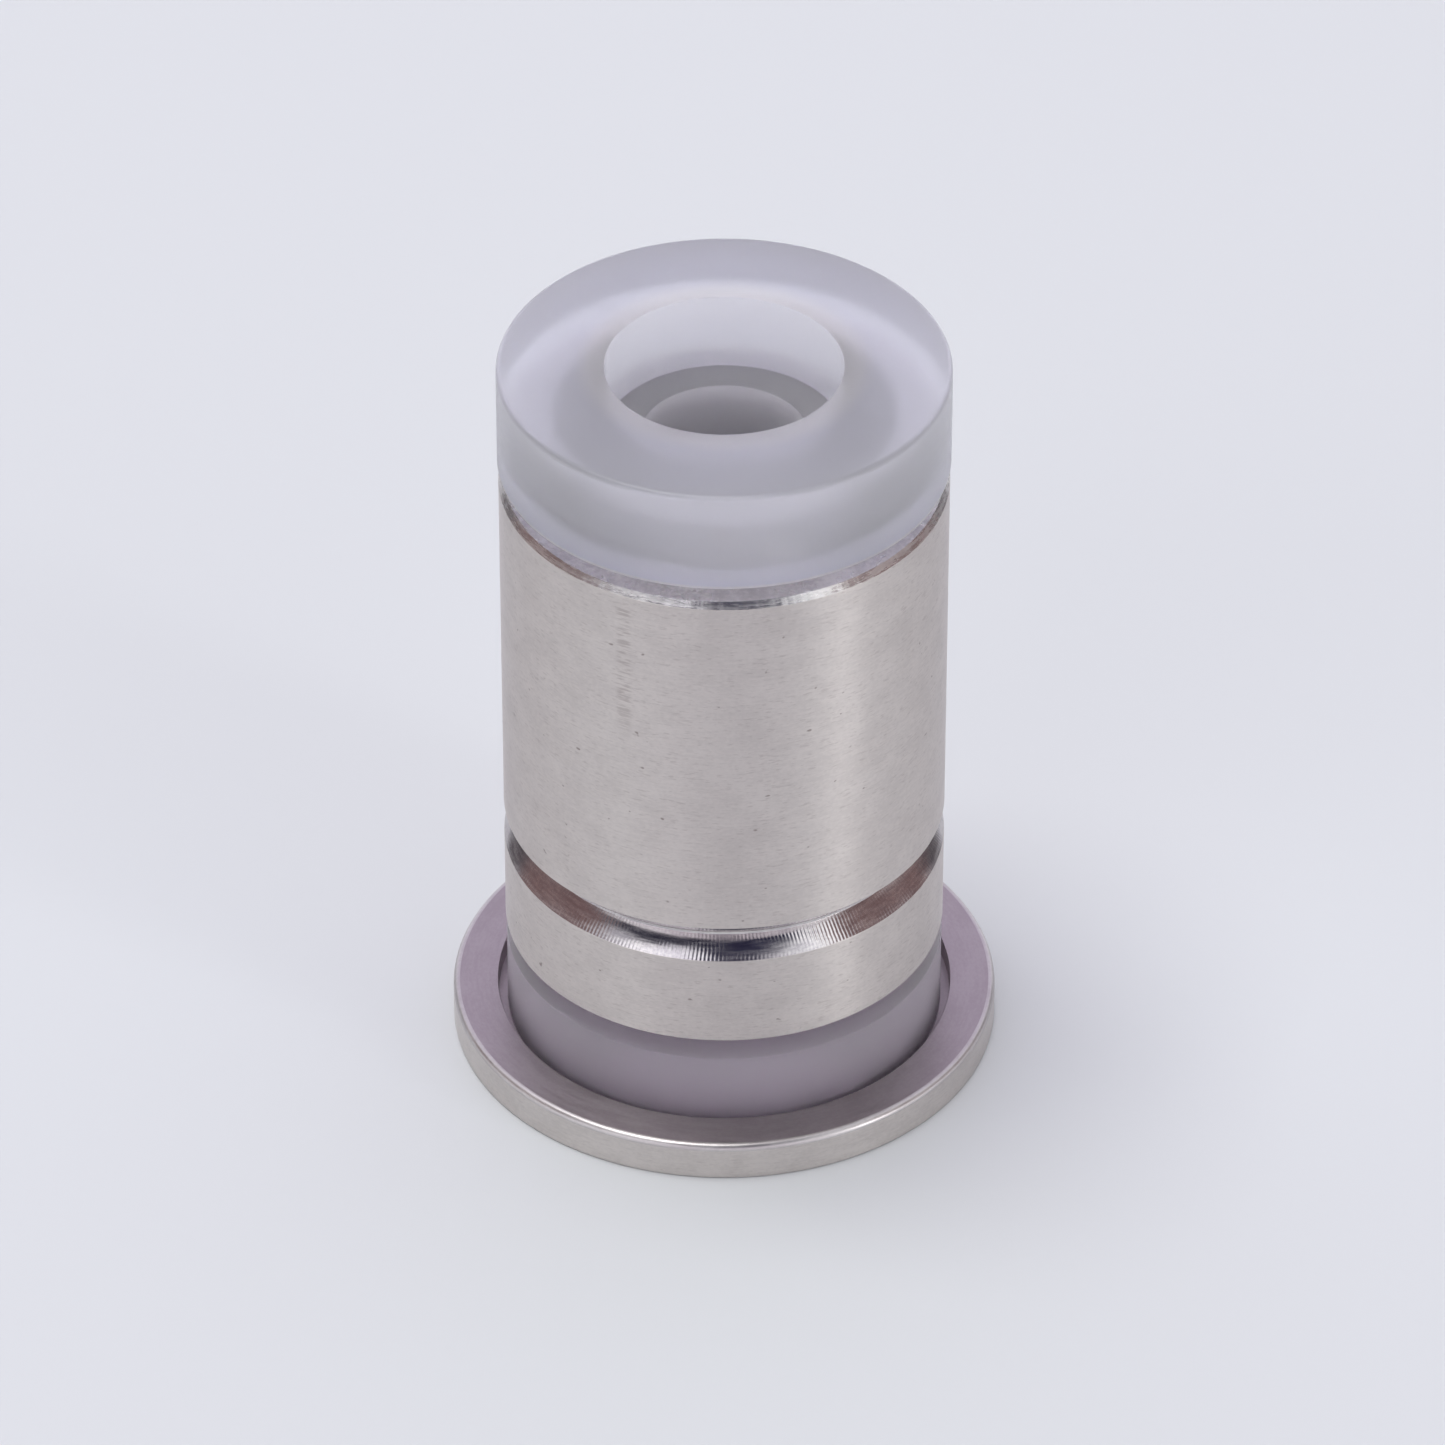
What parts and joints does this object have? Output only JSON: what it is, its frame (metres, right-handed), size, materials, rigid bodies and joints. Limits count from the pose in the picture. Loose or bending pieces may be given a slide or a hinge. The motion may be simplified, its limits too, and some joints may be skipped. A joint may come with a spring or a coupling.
{
  "type": "ball check valve cartridge",
  "caption": "Small steel check valve cartridge with translucent end seals, a base flange and ball-and-seat stages inside.",
  "frame": {"origin": "on the axis, at the underside of the base flange", "axes": "+Z along the axis, from the inlet to the outlet, the way the liquid flows; X and Y across it"},
  "size_m": [0.0124, 0.0124, 0.018],
  "materials": {
    "sleeve_steel": "fine turned satin",
    "flange_steel": "fine turned satin",
    "inner_steel": "smooth",
    "frosted_polymer": "frosted translucent",
    "white_polymer": "matt",
    "tan_polymer": "matt",
    "sapphire": "polished",
    "ruby": "polished"
  },
  "bodies": {
    "housing": {"sleeve": "sleeve_steel", "base_flange": "flange_steel", "inlet_seal": "frosted_polymer", "outlet_seal": "frosted_polymer", "stage_spacer": "inner_steel", "lower_seat_gasket": "white_polymer", "lower_seat_holder": "inner_steel", "lower_seat": "sapphire", "lower_cage_gasket": "white_polymer", "lower_cage": "tan_polymer", "lower_stop_plate": "inner_steel", "upper_seat_gasket": "white_polymer", "upper_seat_holder": "inner_steel", "upper_seat": "sapphire", "upper_cage_gasket": "white_polymer", "upper_cage": "tan_polymer", "upper_stop_plate": "inner_steel"},
    "lower_ball": {"lower_ball": "ruby"},
    "upper_ball": {"upper_ball": "ruby"}
  },
  "joints": [
    {"name": "lower_ball_lift", "type": "slide", "parent": "housing", "child": "lower_ball", "axis": [0, 0, 1], "range_m": [0, 0.0004]},
    {"name": "upper_ball_lift", "type": "slide", "parent": "housing", "child": "upper_ball", "axis": [0, 0, 1], "range_m": [0, 0.0004]}
  ]
}
